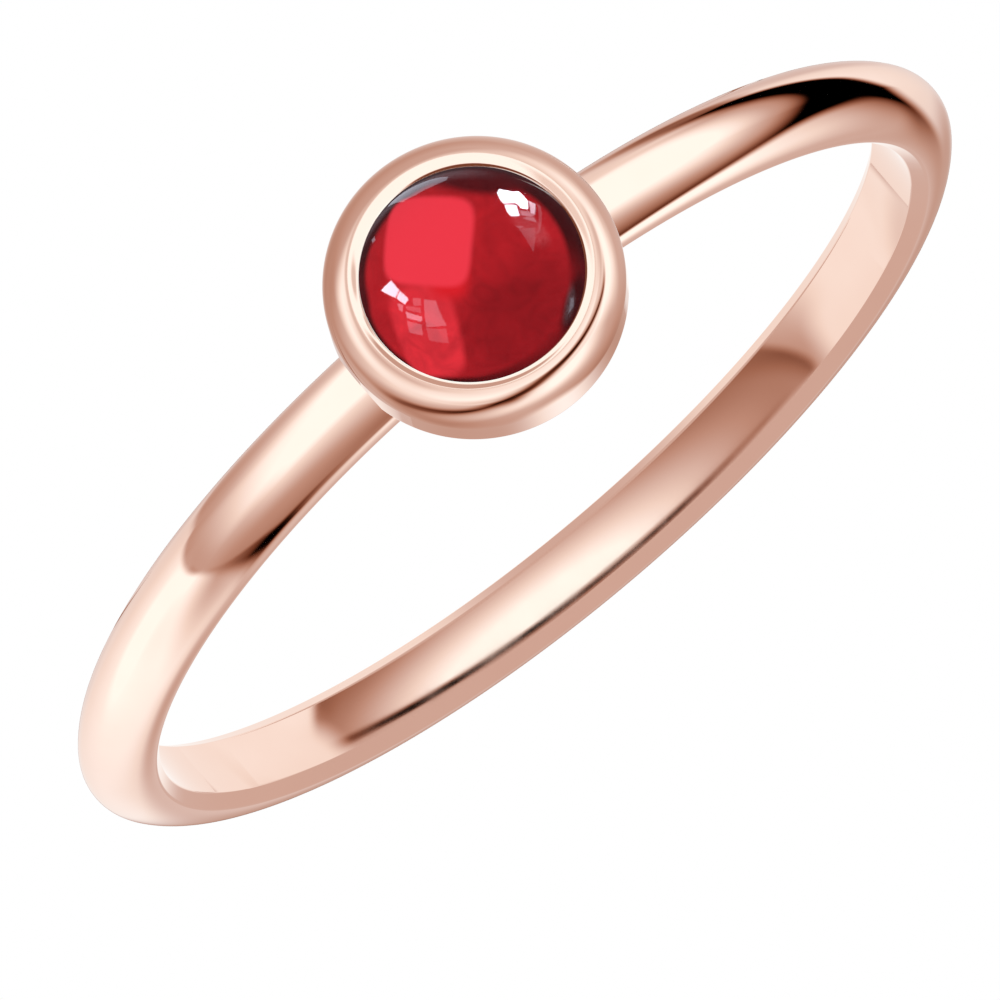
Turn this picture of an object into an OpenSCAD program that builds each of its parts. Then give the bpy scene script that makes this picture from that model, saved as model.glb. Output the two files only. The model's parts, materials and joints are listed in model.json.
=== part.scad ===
// Ring with one round cabochon in a smooth bezel cup, lying on its side as it rests by itself.
// The shape is worked out with the finger hole along Z and the stone towards -Y, then tipped
// until the cup and the back of the band both touch the surface that the ring lies on.

/* [Finger hole] */
// Inside diameter of the band, US size 6
finger_hole_d = 16.5; // [14:0.1:21]

/* [Band] */
// Width of the band, measured along the finger
band_w = 1.5; // [1.3:0.05:2]
// Thickness of the band, from the finger to the crown of its dome
band_t = 1.2; // [1.1:0.05:1.5]
// Radius of the crown of the dome
band_crown_r = 0.5; // [0.3:0.05:0.55]
// Radius of the rounded edges beside the finger
band_edge_r = 0.2; // [0.1:0.02:0.24]

/* [Bezel] */
// Outside diameter of the cup
bezel_d = 5.1; // [4.9:0.05:5.5]
// Height of the lip above the finger hole
bezel_lip_h = 1.75; // [1.7:0.05:1.8]
// Height of the cup's flat underside above the finger hole
bezel_base_h = 0.35; // [0.2:0.05:0.4]
// Distance from the outside of the cup in to the crest of the lip
bezel_crest_in = 0.47; // [0.4:0.01:0.5]
// Height from the widest part of the cup up to the crest of the lip
bezel_round_h = 0.7; // [0.6:0.05:0.8]
// Radius of the crest of the lip
bezel_crest_r = 0.33; // [0.25:0.01:0.36]
// Radius of the rounded edge under the cup
bezel_edge_r = 0.15; // [0.1:0.01:0.2]

/* [Stone] */
// Diameter of the stone at its girdle
stone_d = 4.0; // [3.9:0.02:4.04]
// Height of the stone, from its flat back to the top of its dome
stone_h = 2.15; // [2.1:0.05:2.2]
// Radius of the dome
stone_dome_r = 2.1; // [2.08:0.02:2.2]
// Thickness of metal between the stone's back and the finger
stone_floor_h = 0.5; // [0.45:0.05:0.55]
// How far the lip reaches in over the girdle
lip_over_girdle = 0.1; // [0.08:0.01:0.14]
// Gap between the stone and the metal
stone_gap = 0.03; // [0.02:0.01:0.05]

/* [Hidden] */
$fn = 144;
rose_gold = [0.86, 0.65, 0.57];
garnet = [0.62, 0.04, 0.08];
past = 1;  // how far a cut runs past the metal

hole_r = finger_hole_d / 2;
band_half_w = band_w / 2;
foot_r = hole_r + band_edge_r;  // the dome starts where the rounded edge ends
dome_h = band_t - band_edge_r;

bezel_r = bezel_d / 2;
crest_r = bezel_r - bezel_crest_in;
crest_h = hole_r + bezel_lip_h;
wide_h = crest_h - bezel_round_h;
base_h = hole_r + bezel_base_h;

stone_r = stone_d / 2;
floor_h = hole_r + stone_floor_h;
back_h = floor_h + stone_gap;
dome_centre_h = back_h + stone_h - stone_dome_r;
open_r = stone_r - lip_over_girdle;
open_h = dome_centre_h + sqrt(pow(stone_dome_r + stone_gap, 2) - pow(open_r, 2));
lip_edge_h = 0.05;  // upright inner edge of the lip, above which it is bevelled
bevel_w = 0.1;
bevel_h = 0.16;

// The flank of an arch stands upright at the foot and runs smoothly into the crown.
function flank_r(half_w, height, crown) =
    (half_w * half_w + height * height - 2 * height * crown) / (2 * (half_w - crown));

// The ring lies on the rounded edge under its cup and on the flank of the band's far side.
// Both are arcs in the plane x = 0, and the surface is the line that touches them from below.
rest_flank_r = flank_r(band_half_w, dome_h, band_crown_r);
rest_dy = foot_r + base_h + bezel_edge_r;
rest_dz = (rest_flank_r - band_half_w) + (bezel_r - bezel_edge_r);
rest_tilt = atan2(rest_dz, rest_dy)
    + asin((bezel_edge_r - rest_flank_r) / norm([rest_dy, rest_dz]));
rest_lift = (bezel_r - bezel_edge_r) * cos(rest_tilt)
    - (base_h + bezel_edge_r) * sin(rest_tilt) + bezel_edge_r;
front_y = dome_centre_h * cos(rest_tilt) + stone_dome_r;
back_y = (hole_r + band_t - band_crown_r) * cos(rest_tilt) + band_crown_r;
rest_shift = (front_y - back_y) / 2;

// Round arch of three arcs, standing on x = 0 and symmetrical about y = 0
module arch(half_w, height, crown) {
    flank = flank_r(half_w, height, crown);
    centre_out = flank - half_w;
    join_x = (height - crown) * flank / (flank - crown);
    intersection() {
        translate([0, -centre_out])
            circle(r = flank);
        translate([0, centre_out])
            circle(r = flank);
        translate([0, -half_w])
            square([join_x, 2 * half_w]);
    }
    intersection() {
        translate([height - crown, 0])
            circle(r = crown);
        translate([join_x, -half_w])
            square([height, 2 * half_w]);
    }
}

// Turns a shape made along +Z so that it stands out from the front of the band
module on_the_front() {
    rotate([90, 0, 0])
        children();
}

// Domed wire bent round the finger, still without its hole
module band_blank() {
    rotate_extrude() {
        translate([foot_r, 0])
            arch(band_half_w, dome_h, band_crown_r);
        translate([0, -band_half_w])
            square([foot_r, band_w]);
    }
}

module finger_hole() {
    translate([0, 0, -bezel_d])
        cylinder(r = hole_r, h = 2 * bezel_d);
}

// Rounds one edge of the hole: the square corner outside a circle, swept round the finger
module hole_edge_cut() {
    rotate_extrude() {
        difference() {
            translate([hole_r - band_edge_r, band_half_w - band_edge_r])
                square(2 * band_edge_r);
            translate([hole_r + band_edge_r, band_half_w - band_edge_r])
                circle(r = band_edge_r);
        }
    }
}

// Solid cup with a round lip, flat underneath and rounded at its lower edge
module cup_blank() {
    rotate_extrude() {
        translate([0, base_h])
            square([bezel_r - bezel_edge_r, bezel_edge_r]);
        translate([0, base_h + bezel_edge_r])
            square([bezel_r, wide_h - base_h - bezel_edge_r]);
        intersection() {
            translate([bezel_r - bezel_edge_r, base_h + bezel_edge_r])
                circle(r = bezel_edge_r);
            translate([bezel_r - bezel_edge_r, base_h])
                square(bezel_edge_r);
        }
        translate([0, wide_h])
            square([crest_r, bezel_round_h]);
        intersection() {
            translate([crest_r, wide_h])
                rotate(90)
                    arch(bezel_crest_in, bezel_round_h, bezel_crest_r);
            translate([crest_r, wide_h])
                square([bezel_crest_in, bezel_round_h]);
        }
    }
}

// Room for the stone: a round seat under the lip, which follows the dome, and the bevelled opening
module stone_seat() {
    intersection() {
        translate([0, 0, floor_h])
            cylinder(r = stone_r + stone_gap, h = stone_h);
        translate([0, 0, dome_centre_h])
            sphere(r = stone_dome_r + stone_gap);
    }
    translate([0, 0, floor_h + stone_gap])
        cylinder(r = open_r, h = stone_h);
    translate([0, 0, open_h + lip_edge_h])
        cylinder(r1 = open_r, r2 = open_r + bevel_w, h = bevel_h);
    translate([0, 0, open_h + lip_edge_h + bevel_h])
        cylinder(r = open_r + bevel_w, h = past);
}

module laid_on_its_side() {
    translate([0, rest_shift, rest_lift])
        rotate([-rest_tilt, 0, 0])
            children();
}

module band_and_bezel() {
    color(rose_gold)
        laid_on_its_side()
            difference() {
                union() {
                    band_blank();
                    on_the_front()
                        cup_blank();
                }
                finger_hole();
                hole_edge_cut();
                mirror([0, 0, 1])
                    hole_edge_cut();
                on_the_front()
                    stone_seat();
            }
}

module garnet_cabochon() {
    color(garnet)
        laid_on_its_side()
            on_the_front()
                intersection() {
                    translate([0, 0, back_h])
                        cylinder(r = stone_r, h = stone_h + past);
                    translate([0, 0, dome_centre_h])
                        sphere(r = stone_dome_r);
                }
}

band_and_bezel();
garnet_cabochon();
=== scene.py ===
import json
import bpy
import numpy as np
from mathutils import Matrix


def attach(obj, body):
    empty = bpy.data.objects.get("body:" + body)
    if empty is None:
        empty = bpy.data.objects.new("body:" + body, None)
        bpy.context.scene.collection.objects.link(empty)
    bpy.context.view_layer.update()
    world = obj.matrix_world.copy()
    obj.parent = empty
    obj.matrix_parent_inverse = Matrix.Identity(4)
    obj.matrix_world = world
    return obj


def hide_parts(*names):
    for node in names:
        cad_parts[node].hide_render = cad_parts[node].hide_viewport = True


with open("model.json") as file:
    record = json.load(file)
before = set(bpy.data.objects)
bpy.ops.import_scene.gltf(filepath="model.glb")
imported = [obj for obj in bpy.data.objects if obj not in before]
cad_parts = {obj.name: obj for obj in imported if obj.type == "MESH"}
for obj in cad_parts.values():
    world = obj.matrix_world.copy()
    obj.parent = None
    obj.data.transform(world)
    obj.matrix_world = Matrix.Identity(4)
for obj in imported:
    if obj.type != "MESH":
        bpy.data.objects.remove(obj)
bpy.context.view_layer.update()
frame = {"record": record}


# The band: one length of D-shaped silver wire bent round a mandrel and soldered end to end under
# the cup. It is filed to an even dome, polished on a felt wheel and plated with rose gold.
# This mesh is its outer side, closed inside the metal.

MM = 0.001
finger_hole = frame["record"]["mounts"][0]
hole_r = finger_hole["dims"]["r_mm"] * MM
ring_centre = np.array(finger_hole["pos_m"])
finger_axis = np.array(finger_hole["axis"])
across = np.array([1.0, 0.0, 0.0])
backward = np.cross(finger_axis, across)
as_it_lies = np.stack([across, backward, finger_axis])

band_half_w = 0.75 * MM
band_t = 1.2 * MM
crown_r = 0.5 * MM
inner_edge_r = 0.2 * MM
edge_wear = 0.03 * MM
filed_half_x = 2.3 * MM
filed_h = 8.68 * MM
band_steps = 720
flank_steps = 19
crown_steps = 23
worn_steps = 6

foot_r = hole_r + inner_edge_r
dome_h = band_t - inner_edge_r


def arc(centre, radius, start, end, steps):
    """Round stretch of an outline: centre plus radius times (cos a, sin a), a in degrees.
    Each row holds a point and the direction that its surface faces."""
    a = np.radians(np.linspace(start, end, steps))
    facing = np.stack([np.cos(a), np.sin(a)], axis=1)
    return np.hstack([np.array(centre) + radius * facing, facing])


def straight(start, end, steps):
    """Straight stretch of an outline: start plus t times the way to end, t from 0 to 1. It faces
    to the right of its way."""
    start, end = np.array(start), np.array(end)
    t = np.linspace(0, 1, steps)[:, None]
    way = (end - start) / np.linalg.norm(end - start)
    facing = np.tile([way[1], -way[0]], (steps, 1))
    return np.hstack([start + t * (end - start), facing])


def softened(corners, reach, steps):
    """Line through corners, each worn round: the curve goes from reach before the corner to reach
    after it as (1 - t)^2 before + 2 t (1 - t) corner + t^2 after."""
    corners = np.array(corners)
    ways = np.diff(corners, axis=0)
    ways /= np.linalg.norm(ways, axis=1)[:, None]
    turn, before, after = corners[1:-1, None], ways[:-1, None], ways[1:, None]
    t = np.linspace(0, 1, steps)[None, :, None]
    points = turn - before * reach * (1 - t) ** 2 + after * reach * t**2
    way = (1 - t) * before + t * after
    way /= np.linalg.norm(way, axis=-1)[..., None]
    facing = np.stack([way[..., 1], -way[..., 0]], axis=-1)
    return np.concatenate([points, facing], axis=-1).reshape(-1, 4)


def arch_arcs(half_w, height, crown):
    """Radius of the flanks of a three-arc arch that stands upright at its foot, and the angle
    in degrees at which they run into its crown."""
    flank = (half_w**2 + height**2 - 2 * height * crown) / (2 * (half_w - crown))
    return flank, np.degrees(np.arccos((height - crown) / (flank - crown)))


def turned(outline, axis, start, side, steps):
    """Outline (distance from an axis, place along it) turned round that axis: a point is
    along * axis + distance * (cos a * start + sin a * side). Gives a grid of points and one
    of the directions that they face, with a row for each angle."""
    a = np.linspace(0, 2 * np.pi, steps, endpoint=False)[:, None, None]
    out = np.cos(a) * np.array(start) + np.sin(a) * np.array(side)
    distance, along, facing_out, facing_along = (c[None, :, None] for c in outline.T)
    return distance * out + along * np.array(axis), facing_out * out + facing_along * np.array(axis)


def metal_skin(name, points, facing, poles=False):
    """Closed mesh over a grid of points, quad by quad, laid down with the ring. The rows close
    round. The columns close too, or with poles end in one point each, joined by triangles."""
    rows, columns = points.shape[:2]
    index = np.arange(rows * columns).reshape(rows, columns)
    after = np.roll(index, -1, axis=0)
    if poles:
        corners = [index[:, 1:-2], index[:, 2:-1], after[:, 2:-1], after[:, 1:-2]]
        first, last = np.full(rows, index[0, 0]), np.full(rows, index[0, -1])
        ends = [[first, index[:, 1], after[:, 1]], [last, after[:, -2], index[:, -2]]]
        triangles = [np.stack(e, axis=-1) for e in ends]
    else:
        beside = np.roll(index, -1, axis=1)
        corners = [index, beside, np.roll(beside, -1, axis=0), after]
        triangles = []
    quads = np.stack(corners, axis=-1).reshape(-1, 4)
    used, place = np.unique(np.concatenate([quads.ravel(), *[t.ravel() for t in triangles]]),
                            return_inverse=True)
    quads, rest = place[:quads.size].reshape(-1, 4), place[quads.size:].reshape(-1, 3)
    mesh = bpy.data.meshes.new(name)
    spots = ring_centre + points.reshape(-1, 3)[used] @ as_it_lies
    mesh.from_pydata(spots, [], quads.tolist() + rest.tolist())
    mesh.shade_smooth()
    normals = facing.reshape(-1, 3)[used] @ as_it_lies
    mesh.normals_split_custom_set_from_vertices(normals)
    piece = bpy.data.objects.new(name, mesh)
    bpy.context.scene.collection.objects.link(piece)
    return piece


flank_r, crown_turn = arch_arcs(band_half_w, dome_h, crown_r)
edge_v = band_half_w - inner_edge_r
flank_start = np.degrees(edge_wear / flank_r)
lower_edge = softened([(hole_r, 0), (hole_r, -edge_v), (foot_r, -band_half_w),
                       (foot_r + inner_edge_r, -band_half_w)], edge_wear, worn_steps)
upper_edge = (lower_edge * [1, -1, 1, -1])[::-1]
outer_outline = np.concatenate([
    lower_edge[-1:],
    arc((foot_r, flank_r - band_half_w), flank_r, flank_start - 90, -crown_turn,
        flank_steps)[1:-1],
    arc((foot_r + dome_h - crown_r, 0), crown_r, -crown_turn, crown_turn,
        crown_steps)[:-1],
    arc((foot_r, band_half_w - flank_r), flank_r, crown_turn, 90 - flank_start,
        flank_steps)[:-1],
    upper_edge[:1],
    straight((foot_r, edge_v), (foot_r, -edge_v), 3)[1:2],
])
band_points, band_facing = turned(outer_outline, (0, 0, 1), (0, -1, 0), (-1, 0, 0), band_steps)

# Under the cup the dome is filed flat, so that it lies inside the cup's base.
under_cup = (abs(band_points[..., 0]) < filed_half_x) & (band_points[..., 1] < -filed_h)
band_points[..., 1] = np.where(under_cup, -filed_h, band_points[..., 1])

band = metal_skin("band", band_points, band_facing)

plate_warm = (0.905, 0.665, 0.565)
plate_dull = (0.895, 0.65, 0.55)
gloss = (0.022, 0.045)
fine_lines = 42
slow_turn = 1.6
line_depth = 0.0004 * MM
line_strength = 0.05
smudge_scale = 1.1
tilt = np.arctan2(-finger_axis[1], finger_axis[2])


def reckoned(tree, operation, *values):
    """One node of arithmetic: its operation on the values, each a number or another's output."""
    node = tree.nodes.new("ShaderNodeMath")
    node.operation = operation
    for socket, value in zip(node.inputs, values):
        if isinstance(value, bpy.types.NodeSocket):
            tree.links.new(value, socket)
        else:
            socket.default_value = value
    return node.outputs["Value"]


def node_group(name, inputs, outputs):
    """Empty shader group with float sockets, or vector ones where a name starts with Way."""
    group = bpy.data.node_groups.new(name, "ShaderNodeTree")
    for names, side in ((inputs, "INPUT"), (outputs, "OUTPUT")):
        for socket in names:
            kind = "NodeSocketVector" if socket.startswith("Way") else "NodeSocketFloat"
            group.interface.new_socket(socket, in_out=side, socket_type=kind)
    given = group.nodes.new("NodeGroupInput").outputs
    return group, given, group.nodes.new("NodeGroupOutput").inputs


def grouped(tree, group, values):
    """The group placed in a tree, with its inputs set or linked by name."""
    node = tree.nodes.new("ShaderNodeGroup")
    node.node_tree = group
    for name, value in values.items():
        if isinstance(value, bpy.types.NodeSocket):
            tree.links.new(value, node.inputs[name])
        else:
            node.inputs[name].default_value = value
    return node.outputs


def place_in_ring(tree, turn=0):
    """Place on a piece in millimetres from the ring's centre, in the ring's own axes, turned on
    by an angle about its level axis."""
    mapping = tree.nodes.new("ShaderNodeMapping")
    mapping.vector_type = "TEXTURE"
    mapping.inputs["Location"].default_value = ring_centre
    mapping.inputs["Rotation"].default_value = (tilt + turn, 0, 0)
    mapping.inputs["Scale"].default_value = (MM, MM, MM)
    tree.links.new(tree.nodes.new("ShaderNodeTexCoord").outputs["Object"],
                   mapping.inputs["Vector"])
    return mapping.outputs["Vector"]


# Marks of the polishing wheel: noise drawn out along the turn round the axis, as lines, and
# cloudy patches where the wheel pressed more or less.
polish, given, told = node_group("polish_marks", ["Way Place"], ["Lines", "Clouds"])
parts = polish.nodes.new("ShaderNodeSeparateXYZ")
polish.links.new(given["Way Place"], parts.inputs["Vector"])
from_axis = reckoned(polish, "SQRT", reckoned(
    polish, "ADD", reckoned(polish, "POWER", parts.outputs["X"], 2),
    reckoned(polish, "POWER", parts.outputs["Y"], 2)))
drawn = polish.nodes.new("ShaderNodeCombineXYZ")
polish.links.new(reckoned(polish, "MULTIPLY", from_axis, fine_lines), drawn.inputs["X"])
polish.links.new(reckoned(polish, "MULTIPLY", parts.outputs["Z"], fine_lines), drawn.inputs["Y"])
turned_x, turned_y = (reckoned(polish, "MULTIPLY", reckoned(
    polish, "DIVIDE", parts.outputs[part], from_axis), slow_turn) for part in "XY")
polish.links.new(turned_x, drawn.inputs["Z"])
lines = polish.nodes.new("ShaderNodeTexNoise")
lines.noise_dimensions = "4D"
lines.inputs["Scale"].default_value = 1
lines.inputs["Detail"].default_value = 2
polish.links.new(drawn.outputs["Vector"], lines.inputs["Vector"])
polish.links.new(turned_y, lines.inputs["W"])
polish.links.new(lines.outputs["Fac"], told["Lines"])
clouds = polish.nodes.new("ShaderNodeTexNoise")
clouds.inputs["Scale"].default_value = smudge_scale
clouds.inputs["Detail"].default_value = 4
polish.links.new(given["Way Place"], clouds.inputs["Vector"])
polish.links.new(clouds.outputs["Fac"], told["Clouds"])


def ranged(tree, value, low, high):
    """Value from 0.3 to 0.7 spread from low to high."""
    node = tree.nodes.new("ShaderNodeMapRange")
    tree.links.new(value, node.inputs["Value"])
    for name, number in (("From Min", 0.3), ("From Max", 0.7), ("To Min", low), ("To Max", high)):
        node.inputs[name].default_value = number
    return node.outputs["Result"]


def mixed(tree, share, first, second):
    """Colour that goes from first to second with the share."""
    mix = tree.nodes.new("ShaderNodeMix")
    mix.data_type = "RGBA"
    factor, start, end = mix.inputs[0], mix.inputs[6], mix.inputs[7]
    tree.links.new(share, factor)
    for socket, value in ((start, first), (end, second)):
        if isinstance(value, bpy.types.NodeSocket):
            tree.links.new(value, socket)
        else:
            socket.default_value = (*value, 1)
    return mix.outputs[2]


def rose_gold(name, turn):
    """Polished rose gold whose polishing lines run round the axis that the turn gives."""
    material = bpy.data.materials.new(name)
    material.use_nodes = True
    tree = material.node_tree
    marks = grouped(tree, polish, {"Way Place": place_in_ring(tree, turn)})
    shader = tree.nodes["Principled BSDF"]
    shader.inputs["Metallic"].default_value = 1
    tree.links.new(mixed(tree, ranged(tree, marks["Clouds"], 0, 1), plate_warm, plate_dull),
                   shader.inputs["Base Color"])
    tree.links.new(ranged(tree, marks["Clouds"], *gloss), shader.inputs["Roughness"])
    bump = tree.nodes.new("ShaderNodeBump")
    bump.inputs["Strength"].default_value = line_strength
    bump.inputs["Distance"].default_value = line_depth
    tree.links.new(marks["Lines"], bump.inputs["Height"])
    tree.links.new(bump.outputs["Normal"], shader.inputs["Normal"])
    return material


lined = rose_gold("rose_gold_of_band", 0)
band.data.materials.append(lined)
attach(band, "root")
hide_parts("band_and_bezel")


# The finger side of the same wire, flat across with its edges broken by a burnisher. It is a mesh
# of its own, closed inside the metal, because it is lit on its own.

inner_outline = np.concatenate([
    upper_edge,
    straight((hole_r, edge_v - edge_wear), (hole_r, edge_wear - edge_v), 9)[1:-1],
    lower_edge,
    straight((foot_r + edge_wear, -edge_v), (foot_r + edge_wear, edge_v), 3)[1:2],
])
side_points, side_facing = turned(inner_outline, (0, 0, 1), (0, -1, 0), (-1, 0, 0), band_steps)
finger_side = metal_skin("finger_side", side_points, side_facing)
finger_side.data.materials.append(lined)
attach(finger_side, "root")
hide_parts("band_and_bezel")


# The bezel cup: a turned silver cup soldered on to the band and plated with it. Its lip is
# burnished round on both sides. This mesh is its outer side, from the base to the crest.

cup_r = 2.55 * MM
cup_base_h = 8.6 * MM
cup_edge_r = 0.15 * MM
widest_h = 9.3 * MM
crest_h = 10.0 * MM
crest_in = 0.47 * MM
crest_r = 0.33 * MM
joint_high = 8.7 * MM
cup_steps = 400

cup_flank_r, cup_turn = arch_arcs(crest_in, crest_h - widest_h, crest_r)
crest_at = cup_r - crest_in
cup_outline = np.concatenate([
    straight((0, cup_base_h), (cup_r - cup_edge_r, cup_base_h), 6)[:-1],
    arc((cup_r - cup_edge_r, cup_base_h + cup_edge_r), cup_edge_r, -90, 0, 13)[:-1],
    straight((cup_r, cup_base_h + cup_edge_r), (cup_r, widest_h), 5)[:-1],
    arc((cup_r - cup_flank_r, widest_h), cup_flank_r, 0, 90 - cup_turn, 19)[:-1],
    arc((crest_at, crest_h - crest_r), crest_r, 90 - cup_turn, 90, 21),
    straight((crest_at, crest_h), (crest_at, joint_high), 3)[1:],
    straight((crest_at, joint_high), (0, joint_high), 3)[1:],
])
cup_points, cup_facing = turned(cup_outline, (0, -1, 0), (0, 0, 1), (1, 0, 0), cup_steps)
cup = metal_skin("bezel_cup", cup_points, cup_facing, poles=True)
turned_gold = rose_gold("rose_gold_of_cup", np.pi / 2)
cup.data.materials.append(turned_gold)
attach(cup, "root")
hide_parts("band_and_bezel")


# The inside of the cup: the lip from its crest inwards, pushed over the edge of the stone, then
# the seat under it and the flat floor. It is a mesh of its own because it is lit on its own.

opening_r = 1.9 * MM
seat_r = 2.03 * MM
cup_floor_h = 8.75 * MM
dome_centre_h = 8.83 * MM
seat_dome_r = 2.13 * MM
seat_wear = 0.01 * MM
joint_low = 8.65 * MM
joint_in = 0.05 * MM
floor_pole_r = 0.0001 * MM

lip_r = crest_at - opening_r
seat_turn = np.degrees(np.arccos(seat_r / seat_dome_r))
seat_end = np.degrees(np.arccos(opening_r / seat_dome_r))
seat_top_h = dome_centre_h + seat_dome_r * np.sin(np.radians(seat_turn))
opening_h = dome_centre_h + seat_dome_r * np.sin(np.radians(seat_end))
lip_outline = np.concatenate([
    straight((0, joint_low), (crest_at + joint_in, joint_low), 3),
    arc((crest_at, crest_h - lip_r), lip_r, 90, 180, 21),
    softened([(opening_r, crest_h - lip_r), (opening_r, opening_h), (seat_r, seat_top_h),
              (seat_r, cup_floor_h), (0, cup_floor_h)], seat_wear, 7),
    straight((floor_pole_r, cup_floor_h), (0, cup_floor_h), 2)[1:],
])
lip_points, lip_facing = turned(lip_outline, (0, -1, 0), (0, 0, 1), (1, 0, 0), cup_steps)
lip = metal_skin("lip", lip_points, lip_facing, poles=True)
lip.data.materials.append(turned_gold)
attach(lip, "root")
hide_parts("band_and_bezel")


# The garnet: a round cabochon of 4 mm, sawn with a flat back, its dome ground and polished.
# It drops into the seat from the front, and the lip that is pushed over its edge holds it.

stone_r = 2.0 * MM
stone_back_h = 8.78 * MM
stone_dome_r = 2.1 * MM
stone_edge_r = 0.03 * MM
girdle_band = 0.01 * MM
stone_steps = 320

girdle_turn = np.degrees(np.arccos(stone_r / stone_dome_r))
girdle_h = dome_centre_h + stone_dome_r * np.sin(np.radians(girdle_turn))
stone_outline = np.concatenate([
    straight((0, stone_back_h), (stone_r - stone_edge_r, stone_back_h), 6)[:-1],
    arc((stone_r - stone_edge_r, stone_back_h + stone_edge_r), stone_edge_r, -90, 0, 7)[:-1],
    straight((stone_r, stone_back_h + stone_edge_r), (stone_r, girdle_h), 4),
    arc((0, dome_centre_h), stone_dome_r, girdle_turn, 90, 81),
])
stone_points, stone_facing = turned(stone_outline, (0, -1, 0), (0, 0, 1), (1, 0, 0), stone_steps)
stone = metal_skin("garnet", stone_points, stone_facing, poles=True)

# It is clear and deep red, the same all through, so its colour and gloss are plain numbers.
clear_red = bpy.data.materials.new("garnet")
clear_red.use_nodes = True
shader = clear_red.node_tree.nodes["Principled BSDF"]
shader.inputs["Base Color"].default_value = (0.85, 0.06, 0.08, 1)
shader.inputs["Roughness"].default_value = 0.05
shader.inputs["IOR"].default_value = 1.76
shader.inputs["Transmission Weight"].default_value = 1
stone.data.materials.append(clear_red)

# Its flat back lies over bright metal. What would shine back from there is painted light on the
# back:
# a painted glow, a squarish patch, among painted shade at the rims and lighter reds, in shapes with
# soft edges.
# How much of such a shape lies at a place: with s = (|X / half width|^n + |Y / half height|^n)
# ^ (1 / n), it is 0.5 + (1 - s) * the smaller half / soft edge, eased from 0 to 1.
shape_sides = ["Half Width", "Half Height", "Squareness", "Soft Edge"]
soft_shape, given, told = node_group("soft_shape", ["X", "Y", *shape_sides], ["Share"])
power_sum = reckoned(soft_shape, "ADD", *[
    reckoned(soft_shape, "POWER", reckoned(soft_shape, "ABSOLUTE", reckoned(
        soft_shape, "DIVIDE", given[place], given[half])), given["Squareness"])
    for place, half in (("X", "Half Width"), ("Y", "Half Height"))])
spread = reckoned(soft_shape, "POWER", power_sum,
                  reckoned(soft_shape, "DIVIDE", 1.0, given["Squareness"]))
smaller = reckoned(soft_shape, "MINIMUM", given["Half Width"], given["Half Height"])
inside = reckoned(soft_shape, "MULTIPLY", reckoned(soft_shape, "SUBTRACT", 1.0, spread),
                  reckoned(soft_shape, "DIVIDE", smaller, given["Soft Edge"]))
ease = soft_shape.nodes.new("ShaderNodeMapRange")
ease.interpolation_type = "SMOOTHSTEP"
ease.inputs["From Min"].default_value = -0.5
ease.inputs["From Max"].default_value = 0.5
soft_shape.links.new(inside, ease.inputs["Value"])
soft_shape.links.new(ease.outputs["Result"], told["Share"])

painted_back_glow = bpy.data.materials.new("garnet_back")
painted_back_glow.use_nodes = True
tree = painted_back_glow.node_tree
shader = tree.nodes["Principled BSDF"]
shader.inputs["Base Color"].default_value = (0.02, 0.001, 0.001, 1)
shader.inputs["Roughness"].default_value = 0.6
shader.inputs["Specular IOR Level"].default_value = 0
place = place_in_ring(tree)
parts = tree.nodes.new("ShaderNodeSeparateXYZ")
tree.links.new(place, parts.inputs["Vector"])


def painted(colour, shapes):
    """Colour with soft-edged shapes laid over it, one after the other: colour + share * (tint -
    colour). Each has a name, its place in x and z, its roll in degrees, half width and height,
    squareness, soft edge and tint."""
    for _, x, z, roll, half_w, half_h, square, edge, tint in shapes:
        k = np.radians(roll)
        dx = reckoned(tree, "SUBTRACT", parts.outputs["X"], x)
        dz = reckoned(tree, "SUBTRACT", parts.outputs["Z"], z)
        at_x = reckoned(tree, "ADD", reckoned(tree, "MULTIPLY", dx, np.cos(k)),
                        reckoned(tree, "MULTIPLY", dz, np.sin(k)))
        at_y = reckoned(tree, "SUBTRACT", reckoned(tree, "MULTIPLY", dz, np.cos(k)),
                        reckoned(tree, "MULTIPLY", dx, np.sin(k)))
        share = grouped(tree, soft_shape, {"X": at_x, "Y": at_y, "Half Width": half_w,
                                         "Half Height": half_h, "Squareness": square,
                                         "Soft Edge": edge})["Share"]
        colour = mixed(tree, share, colour, tint)
    return colour


# Painted light and shade on the back: a near-black ground as painted shade at the rim, a red glow
# over most of it, painted shade at its top and by its top left, lower left and right, and a lighter
# red patch of painted light.
reds = painted((0.05, 0.002, 0.003), [
    ("whole back", 0.04, -0.12, 0, 1.08, 1.03, 2, 0.1, (0.50, 0.045, 0.06)),
    ("darker top", -0.2, 0.5, 0, 0.75, 0.55, 2, 0.5, (0.32, 0.028, 0.038)),
    ("lower red", 0.66, 0.03, -28, 0.33, 0.55, 3.5, 0.09, (0.78, 0.11, 0.14)),
    ("dark by the top left", -0.72, -0.84, -41, 0.45, 0.17, 2, 0.12, (0.09, 0.01, 0.014)),
    ("dark by the lower left", 0.99, -0.80, 55, 0.36, 0.14, 2, 0.12, (0.09, 0.006, 0.01)),
    ("dark by the right", -0.74, 0.78, 42, 0.36, 0.14, 2, 0.12, (0.05, 0.006, 0.008)),
])
veils = tree.nodes.new("ShaderNodeTexNoise")
veils.inputs["Scale"].default_value = 3.4
veils.inputs["Detail"].default_value = 8
veils.inputs["Distortion"].default_value = 1.6
tree.links.new(place, veils.inputs["Vector"])
veil_light = tree.nodes.new("ShaderNodeHueSaturation")
tree.links.new(ranged(tree, veils.outputs["Fac"], 0.84, 1.16), veil_light.inputs["Value"])
tree.links.new(reds, veil_light.inputs["Color"])
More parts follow.
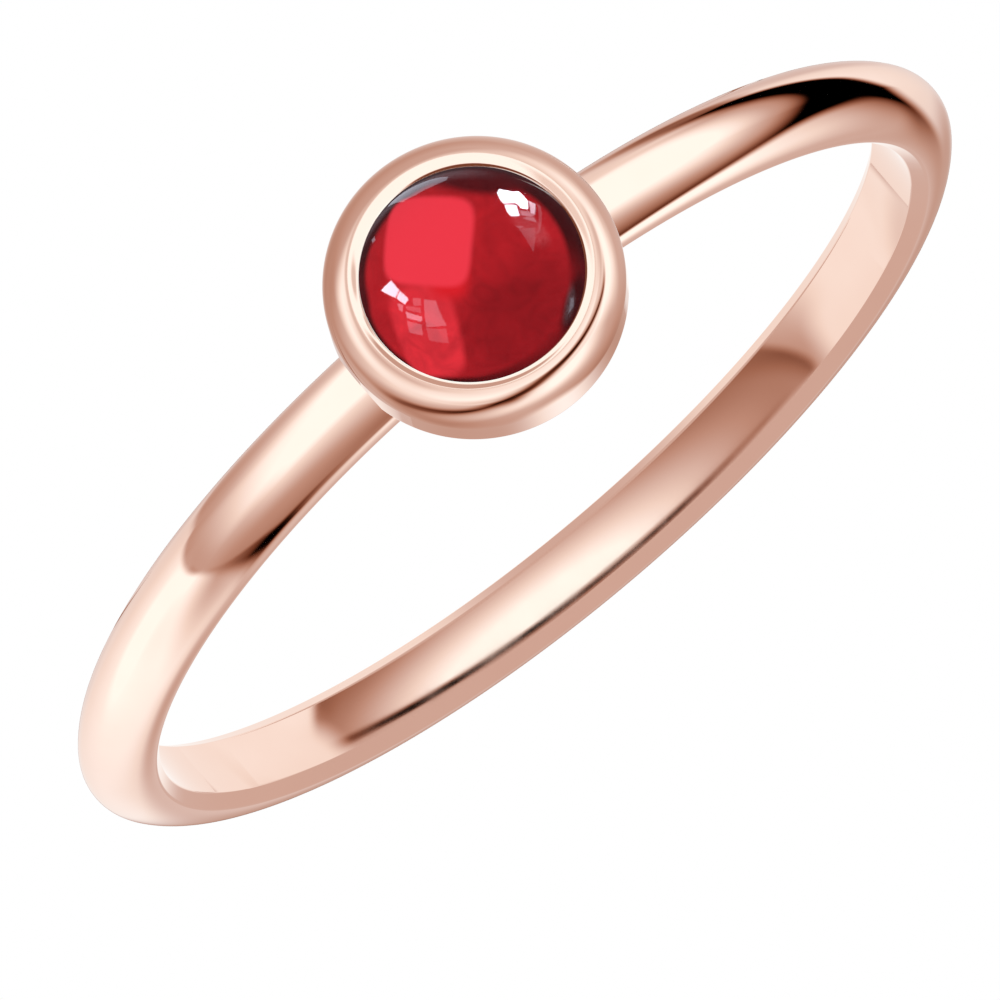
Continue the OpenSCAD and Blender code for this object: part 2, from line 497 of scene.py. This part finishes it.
# The painted glow laid over the rest: a bright squarish patch of painted light and its tail.
colour = painted(veil_light.outputs["Color"], [
    ("tail of the glow", 0.12, -0.26, 45, 0.16, 0.16, 3, 0.16, (0.80, 0.05, 0.07)),
    ("glowing patch", 0.04, -0.68, 46, 0.42, 0.41, 5, 0.07, (1.0, 0.17, 0.235)),
])
# The back gives out this painted light and shade as emission, though it is no lamp.
tree.links.new(colour, shader.inputs["Emission Color"])
shader.inputs["Emission Strength"].default_value = 1
stone.data.materials.append(painted_back_glow)

# The faces up to just over the girdle are the back.
on_back = np.zeros(len(stone.data.polygons), dtype=np.int32)
middles = np.empty(3 * len(on_back))
stone.data.polygons.foreach_get("center", middles)
heights = -((middles.reshape(-1, 3) - ring_centre) @ as_it_lies.T)[:, 1]
on_back[heights < girdle_h + girdle_band] = 1
stone.data.polygons.foreach_set("material_index", on_back)
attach(stone, "root")
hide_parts("garnet_cabochon")


# The floor and the backdrop: a light table, whose white top glows evenly so that no shadow falls
# on it, before a white wall. The camera alone sees the wall, and the ring mirrors neither.

table_reach = 2.0
light_table = bpy.data.materials.new("light_table")
light_table.use_nodes = True
tree = light_table.node_tree
tree.nodes.remove(tree.nodes["Principled BSDF"])
glow = tree.nodes.new("ShaderNodeEmission")
tree.links.new(glow.outputs["Emission"], tree.nodes["Material Output"].inputs["Surface"])
mesh = bpy.data.meshes.new("table")
table_corners = [(-1, -1, 0), (1, -1, 0), (1, 1, 0), (-1, 1, 0)]
mesh.from_pydata(np.array(table_corners) * table_reach, [], [(0, 1, 2, 3)])
mesh.materials.append(light_table)
table = bpy.data.objects.new("table", mesh)
bpy.context.scene.collection.objects.link(table)
table.visible_glossy = False
table.visible_transmission = False

world = bpy.data.worlds.new("studio")
bpy.context.scene.world = world
world.use_nodes = True
tree = world.node_tree
path = tree.nodes.new("ShaderNodeLightPath")
background = tree.nodes["Background"]
background.inputs["Color"].default_value = (1, 1, 1, 1)
tree.links.new(path.outputs["Is Camera Ray"], background.inputs["Strength"])


# The light tents. A jeweller's photographer lights one part at a time, with soft boxes, black
# flags and white card round it. So each side of the metal and the stone has a tent of its own:
# a dome that only its piece mirrors, bright or dark by direction as seen from the ring.

tent_r = 2.0
tent_gap = 0.1
fine_tent = 220
plain_tent = 150
coarse_tent = 60
brightest = 1.5

# The colour of the light at each level of brightness, from a deep brown up to a cool white. A
# program took these tones from the photograph: each is the metal's middle colour at that
# brightness, with the plate's own colour divided out.
warmth = [(0, (0, 0, 0)), (0.033, (0.16, 0.05, 0.025)), (0.13, (0.391, 0.197, 0.136)),
          (0.254, (0.579, 0.385, 0.318)), (0.445, (0.779, 0.674, 0.645)),
          (0.651, (1.006, 0.986, 0.963)), (0.753, (1.09, 1.14, 1.16)), (0.956, (1.2, 1.448, 1.498))]


def tent_box(azimuth, elevation, roll):
    """Centre, right and up of a soft box: its centre is (sin az cos el, -cos az cos el, sin el),
    its level right (cos az, sin az, 0), and both sides are rolled by the last angle."""
    az, el, k = np.radians([azimuth, elevation, roll])
    centre = np.array([np.sin(az) * np.cos(el), -np.cos(az) * np.cos(el), np.sin(el)])
    level = np.array([np.cos(az), np.sin(az), 0])
    upright = np.array([-np.sin(az) * np.sin(el), np.cos(az) * np.sin(el), np.cos(el)])
    return (centre, np.cos(k) * level + np.sin(k) * upright,
            np.cos(k) * upright - np.sin(k) * level)


def laid_over(light, x, y, half_w, half_h, square, edge, bright, slope_across=0, slope_up=0):
    """Light with one soft box laid over it. With s = (|x / half_w|^n + |y / half_h|^n)^(1 / n), its
    share is 0.5 + (1 - s) * the smaller half / edge, eased from 0 to 1."""
    s = (abs(x / half_w) ** square + abs(y / half_h) ** square) ** (1 / square)
    share = np.clip((1 - s) * min(half_w, half_h) / edge + 0.5, 0, 1)
    share = share**2 * (3 - 2 * share)
    own = np.maximum(bright + slope_across * x / half_w + slope_up * y / half_h, 0)
    return light + (own - light) * share


def glow_material(name, tones, strength=1, one_sided=False):
    """Material that gives out the colour that belongs to the light level on its mesh. It is see-
    through, or glows on its inner side alone and hides what is behind that."""
    material = bpy.data.materials.new(name)
    material.use_nodes = True
    tree = material.node_tree
    tree.nodes.remove(tree.nodes["Principled BSDF"])
    level = tree.nodes.new("ShaderNodeAttribute")
    level.attribute_name = "level"
    ramp = tree.nodes.new("ShaderNodeValToRGB")
    tree.links.new(level.outputs["Fac"], ramp.inputs["Fac"])
    stops = ramp.color_ramp.elements
    for number, (place, colour) in enumerate(tones):
        stop = stops[number] if number < 2 else stops.new(place)
        stop.position = place
        stop.color = (*[c / brightest for c in colour], 1)
    glow = tree.nodes.new("ShaderNodeEmission")
    glow.inputs["Strength"].default_value = brightest * strength
    tree.links.new(ramp.outputs["Color"], glow.inputs["Color"])
    clear = tree.nodes.new("ShaderNodeBsdfTransparent")
    last = tree.nodes.new("ShaderNodeMixShader" if one_sided else "ShaderNodeAddShader")
    tree.links.new(clear.outputs["BSDF"], last.inputs[-2])
    tree.links.new(glow.outputs["Emission"], last.inputs[-1])
    if one_sided:
        side = tree.nodes.new("ShaderNodeNewGeometry")
        tree.links.new(side.outputs["Backfacing"], last.inputs["Fac"])
    tree.links.new(last.outputs[0], tree.nodes["Material Output"].inputs["Surface"])
    material.cycles.emission_sampling = "NONE"
    return material


def studio_thing(name, points, faces, light, material, piece=None):
    """Thing of the stage, with a light level at each point or face. It is only seen mirrored or
    through the stone. Where a piece is named, that piece alone sees it, and no other piece
    mirrors that piece, which would block the view of its own tent."""
    mesh = bpy.data.meshes.new(name)
    mesh.from_pydata(points, [], faces)
    domain = "POINT" if len(light) == len(points) else "FACE"
    mesh.attributes.new("level", "FLOAT", domain).data.foreach_set("value", light)
    mesh.materials.append(material)
    thing = bpy.data.objects.new(name, mesh)
    bpy.context.scene.collection.objects.link(thing)
    if piece:
        lit = bpy.data.collections.new(name + "_lights")
        lit.objects.link(piece)
        thing.light_linking.receiver_collection = lit
        piece.visible_glossy = False
    thing.visible_camera = False
    thing.visible_diffuse = False
    thing.visible_shadow = False
    thing.visible_volume_scatter = False


def light_tent(name, piece, radius, steps, plain, boxes, tones=warmth, strength=1):
    """Dome of the radius round the ring: points centre + radius * (cos el cos az, cos el sin az,
    sin el). It is plain, with each soft box laid over the ones before it: its x and y are the
    angle from its centre, in degrees, shared out along its right and up."""
    az = np.linspace(0, 2 * np.pi, 2 * steps, endpoint=False)[:, None]
    el = np.linspace(-np.pi / 2, np.pi / 2, steps + 1)[None, :]
    ways = np.stack([np.cos(el) * np.cos(az), np.cos(el) * np.sin(az),
                     np.sin(el) * np.ones_like(az)], axis=-1)
    index = np.arange(ways[..., 0].size).reshape(ways.shape[:2])
    after = np.roll(index, -1, axis=0)
    quads = np.stack([index[:, :-1], index[:, 1:], after[:, 1:], after[:, :-1]], axis=-1)
    ways = ways.reshape(-1, 3)
    light = np.full(len(ways), plain)
    for azimuth, elevation, roll, *shape in boxes:
        centre, right_side, up_side = tent_box(azimuth, elevation, roll)
        away = np.degrees(np.arccos(np.clip(ways @ centre, -1, 1)))
        x, y = ways @ right_side, ways @ up_side
        per_share = away / np.maximum(np.hypot(x, y), 1e-9)
        light = laid_over(light, x * per_share, y * per_share, *shape)
    studio_thing(name, ring_centre + ways * radius, quads.reshape(-1, 4).tolist(), light,
                 glow_material(name, tones, strength), piece)


# The boxes: azimuth, elevation and roll in degrees, half width and height, squareness, soft edge,
# brightness, and its slopes across and up. Each dome stands a little outside the one before.
# The first 14 boxes of the band and all those of the cup were fitted by a program to how bright
# the metal is in the photograph. The others were set against it.
light_tent("tent_of_band", band, tent_r, fine_tent, 0.27, [
    (-40, -2, 15, 34.9, 69.3, 4.5, 24.1, 1.08, 0.16, 0.14),
    (21, -2, -6, 42.3, 70.5, 3.6, 30.8, 1.13, -0.3, 0.11),
    (107, 89, 13, 69.5, 19.1, 1.9, 36.2, 0.4, -0.68, 0.1),
    (101, -87, 1, 20.3, 12.6, 2, 38.1, 0.93, -0.5, -0.17),
    (-123, -62, -23, 40, 26.1, 1.5, 24.9, 0.57, 0.1, 0.02),
    (136, -3, -12, 58.2, 59.3, 1.8, 1.6, 0.28, 0.04, -0.32),
    (141, 7, -27, 28.7, 50, 1.5, 4.6, 0.06, 0.01, -0.14),
    (133, -4, -11, 53.6, 56.6, 2, 2.6, 0.8, -0.19, 0.16),
    (109, 18, -33, 11.2, 21.7, 1.8, 38.2, 0.99, 0.12, -0.21),
    (-136, -6, 26, 43.8, 57.8, 2, 9.7, 0, 0, 0),
    (-139, -22, 15, 26.3, 30.3, 2.2, 5.5, 0.61, 0.15, 0.01),
    (-154, 29, -5, 22.7, 16.2, 2.9, 6.8, 0.68, -0.44, 0.44),
    (-174, 12, -29, 11.8, 13.7, 4.3, 32.3, 0.44, 0.05, -0.23),
    (120, 52, 2, 26, 4.6, 2.1, 20, 0.2, -0.19, 0),
    (-160, -40, 0, 20, 11, 2, 12, 0.42, 0, 0),
    (-166, -6, 0, 12, 10, 2, 12, 0.27, 0, 0),
    (-133, -55, 0, 7, 5, 2, 8, 0.09, 0, 0),
])
light_tent("tent_of_cup", cup, tent_r + tent_gap, fine_tent, 0.37, [
    (-130, 80, 3, 123, 17.3, 4.6, 53.2, 1.25, -0.9, -0.15),
    (34, 14, -39, 105.8, 49.5, 1.5, 17.5, 0.81, 0, -0.15),
    (63, 67, -9, 70.3, 10.6, 3.1, 15.7, 0.01, -0.02, 0.02),
    (-39, 27, 38, 54.5, 10.7, 5.4, 16.8, 0, -0.89, -0.39),
    (122, 32, 98, 37.2, 18.6, 2.7, 10.7, 0.44, 0.27, -0.89),
    (-81, 4, 33, 29.5, 40.9, 6, 12.6, 0.78, 0.32, -0.1),
    (173, 29, -35, 42.1, 46.4, 2.2, 36.5, 0.26, -0.15, 0.14),
    (-179, -71, 31, 26.7, 72.7, 5.2, 55.5, 0.4, 0.27, -0.16),
    (-178, 17, 104, 18.4, 8.8, 2.6, 14.4, 0.76, -0.03, -0.24),
    (56, -89, 31, 76.1, 41, 2.8, 58.7, 0.27, -0.08, 0.04),
    (-78, 2, -49, 30.1, 16.9, 3.6, 13, 0.82, -0.14, 0.24),
    (24, 14, -35, 24.2, 29.7, 2.6, 24.3, 0.77, -0.1, 0.21),
    (-11, -13, 16, 16.6, 4.8, 4, 20.6, 0.58, -0.44, 0.14),
])
light_tent("tent_of_finger_side", finger_side, tent_r + 2 * tent_gap, coarse_tent, 0.37, [
    (-150, -38, 0, 42, 34, 2.5, 14, 0.67, 0, 0),
    (158, -40, 0, 32, 34, 2.5, 14, 0.64, 0, 0),
])
light_tent("tent_of_lip", lip, tent_r + 3 * tent_gap, plain_tent, 0.93, [
    (60, -15, 0, 42, 22, 2.5, 14, 0.6, 0, 0),
    (-45, -36, 0, 30, 27, 2.5, 8, 0.31, 0, 0),
    (-75, 18, 0, 30, 9, 2, 8, 0.5, 0, 0),
    (-100, -8, 0, 14, 6, 2, 6, 0.42, 0, 0),
    (150, -8, 0, 38, 62, 2.5, 10, 0.05, 0, 0),
    (-8, -11, 0, 6, 6, 2, 6, 0.6, 0, 0),
])
cool_tones = [(0, (0, 0, 0)), (1, (1.36, 1.34, 1.5))]
window_tones = [(0, (0, 0, 0)), (1, (1.15, 1.27, 1.5))]
stone_light = 14
light_tent("tent_of_stone", stone, tent_r + 4 * tent_gap, plain_tent, 0.003, [
    (-74, -6, 16, 11, 14, 3, 8, 0.02, 0, 0),
    (-158, -52, -8, 20, 9, 2.2, 10, 0.012, 0, 0),
    (-113, 40, 30, 5, 9, 2, 8, 0.03, 0, 0),
], cool_tones, stone_light)

# The stone mirrors the panes of two windows and a reflector. Each pane is flat, with its light and
# its corners as azimuth and elevation in degrees. The corners were traced from the mirror images
# in the photograph, with a program turning places there into directions.
panes = [
    (0.95, [(-85, -40), (-94, -41), (-97, -37), (-98, -35), (-104, -33), (-100, -29), (-97, -26),
            (-86, -20), (-81, -22), (-83, -27), (-73, -31), (-76, -35)]),
    (0.75, [(-72, -30), (-81, -26), (-78, -23), (-72, -17), (-65, -19), (-66, -24)]),
    (0.26, [(-98, -26), (-100, -22), (-87, -15), (-85, -17)]),
    (0.10, [(-78, -21), (-85, -18), (-86, -14), (-81, -14), (-74, -17)]),
    (0.07, [(-73, -15), (-84, -13), (-82, -9), (-76, -12)]),
    (0.05, [(-60, -11), (-68, -8), (-63, -7)]),
    (0.03, [(-61, -7), (-77, -5), (-62, 14), (-61, 4)]),
    (0.025, [(-103, -23), (-103, -20), (-78, -1), (-74, 0)]),
    (0.55, [(89, -42), (70, -42), (64, -31), (72, -29)]),
    (0.50, [(64, -30), (60, -21), (61, -19), (66, -19), (69, -24), (71, -28)]),
    (0.09, [(73, -25), (68, -20), (73, -17), (75, -20)]),
    (0.15, [(70, -15), (61, -1), (65, 1), (73, -11)]),
    (0.05, [(56, -17), (50, -11), (54, -7), (60, -12)]),
    (0.04, [(66, -18), (56, -6), (59, -3), (68, -15)]),
    (0.07, [(48, -8), (41, 1), (53, 21), (66, 7)]),
    (0.035, [(67, 7), (56, 22), (69, 29), (76, 13)]),
    (0.06, [(75, -10), (67, 2), (75, 7), (82, -4)]),
    (0.045, [(-175, -46), (-173, -42), (-170, -43), (-163, -48), (-154, -51), (-143, -54),
            (-133, -60), (-136, -66), (-152, -70), (-169, -67)]),
    (0.05, [(158, -59), (157, -62), (145, -65), (149, -62)]),
    (0.05, [(-110, 37), (-114, 34), (-119, 37), (-118, 45)]),
]
corners = np.concatenate([np.radians(edge) for _, edge in panes])
ways = np.stack([np.sin(corners[:, 0]) * np.cos(corners[:, 1]),
                 -np.cos(corners[:, 0]) * np.cos(corners[:, 1]), np.sin(corners[:, 1])], axis=1)
counts = np.cumsum([0] + [len(edge) for _, edge in panes])
studio_thing("window_panes", ring_centre + ways * tent_r,
             [list(range(first, last)) for first, last in zip(counts[:-1], counts[1:])],
             np.array([light for light, _ in panes]),
             glow_material("window_panes", window_tones, stone_light), stone)


# The card in front of the inner wall: a strip of card bent round inside the hole and cut to an
# arch, seen only mirrored, by the finger side of the band and a little by the cup's underside. It
# is brown with crisp ends, a cream middle and a dark line along the arch.

card_r = 7.8 * MM
card_below_arch = 1.5 * MM
card_above_arch = 3.2 * MM
card_steps = 360
card_rows = 126
card_unit = 30 / MM
arch_top = -3.93 * MM
arch_rise = 6.7e-5 * MM
arch_slant = -1.04e-3 * MM

turn = np.linspace(-180, 180, card_steps, endpoint=False)[:, None]
above = np.linspace(-card_below_arch, card_above_arch, card_rows)[None, :]
level = arch_top + arch_slant * turn + arch_rise * turn**2 + above
strip = np.stack([np.sin(np.radians(turn)) * card_r + 0 * level,
                  -np.cos(np.radians(turn)) * card_r + 0 * level, level], axis=-1)
index = np.arange(strip[..., 0].size).reshape(strip.shape[:2])
after = np.roll(index, -1, axis=0)
quads = np.stack([index[:, :-1], after[:, :-1], after[:, 1:], index[:, 1:]], axis=-1)
light = np.full(strip.shape[:2], 0.40)

# The card's boxes, with x in degrees of turn and y in heights over the arch. The arch and the first
# six were fitted by a program to the photograph, and the last three set against it.
for at_turn, height, roll, *shape in [
    (143.8, -30, -1, 83.2, 28.2, 2.8, 44, 0.55, 0.58, -0.17),
    (-9.5, -1.9, -0.6, 127.2, 106.6, 1.5, 5.1, 0, 0.01, -0.36),
    (-15.9, 13.1, -3.3, 132, 74.3, 1.85, 10.3, 0.23, -0.01, 0.14),
    (-11.8, -11.2, -7.5, 62.7, 23, 2.2, 44.4, 1.14, -0.51, 0.52),
    (-31, -2.8, 0.8, 109.6, 2.5, 4.8, 1.8, 0, 0, 0),
    (-6.4, 60.9, 0.3, 143.6, 61.8, 9.2, 1.3, 0.37, 0, 0),
    (180, 25, 0, 54, 48, 6, 14, 0.69, 0, 0),
    (180, -30, 0, 44, 24, 3, 20, 0.72, 0, 0),
    (-150, 47, 52, 44, 15, 3, 12, 0.54, 0, 0),
]:
    k = np.radians(roll)
    dx = (turn - at_turn + 180) % 360 - 180
    dy = above * card_unit - height
    light = laid_over(light, dx * np.cos(k) + dy * np.sin(k), dy * np.cos(k) - dx * np.sin(k),
                      *shape)
studio_thing("wall_card", ring_centre + strip.reshape(-1, 3) @ as_it_lies,
             quads.reshape(-1, 4).tolist(), light.ravel(),
             glow_material("wall_card", warmth, one_sided=True))


# The camera, at the photograph's angle to the ring and with its roll. Its turn, lift and roll are
# taken about the ring's own axes, so they hold for the ring as it lies.

view_turn = np.radians(7.319)
view_lift = np.radians(15.979)
view_roll = np.radians(139.845)
view_distance = 300 * MM
scale = 58.06 / MM
image_side = 1000
sensor = 36.0
shift_right = 0.304 * MM
shift_down = -0.914 * MM

back = np.array([np.sin(view_turn) * np.cos(view_lift), -np.cos(view_turn) * np.cos(view_lift),
                 np.sin(view_lift)])
level = np.array([np.cos(view_turn), np.sin(view_turn), 0])
upright = np.cross(back, level)
right = np.cos(view_roll) * level + np.sin(view_roll) * upright
up = -np.sin(view_roll) * level + np.cos(view_roll) * upright
eye = -shift_right * right + shift_down * up + view_distance * back
camera_data = bpy.data.cameras.new("camera")
camera_data.sensor_width = sensor
camera_data.lens = scale * view_distance / image_side * sensor
camera_data.clip_start = 0.01
camera_data.clip_end = 10
camera = bpy.data.objects.new("camera", camera_data)
bpy.context.scene.collection.objects.link(camera)
pose = np.eye(4)
pose[:3, :3] = (np.stack([right, up, back]) @ as_it_lies).T
pose[:3, 3] = ring_centre + eye @ as_it_lies
camera.matrix_world = Matrix(pose)
bpy.context.scene.camera = camera
bpy.context.scene.view_settings.view_transform = "Standard"
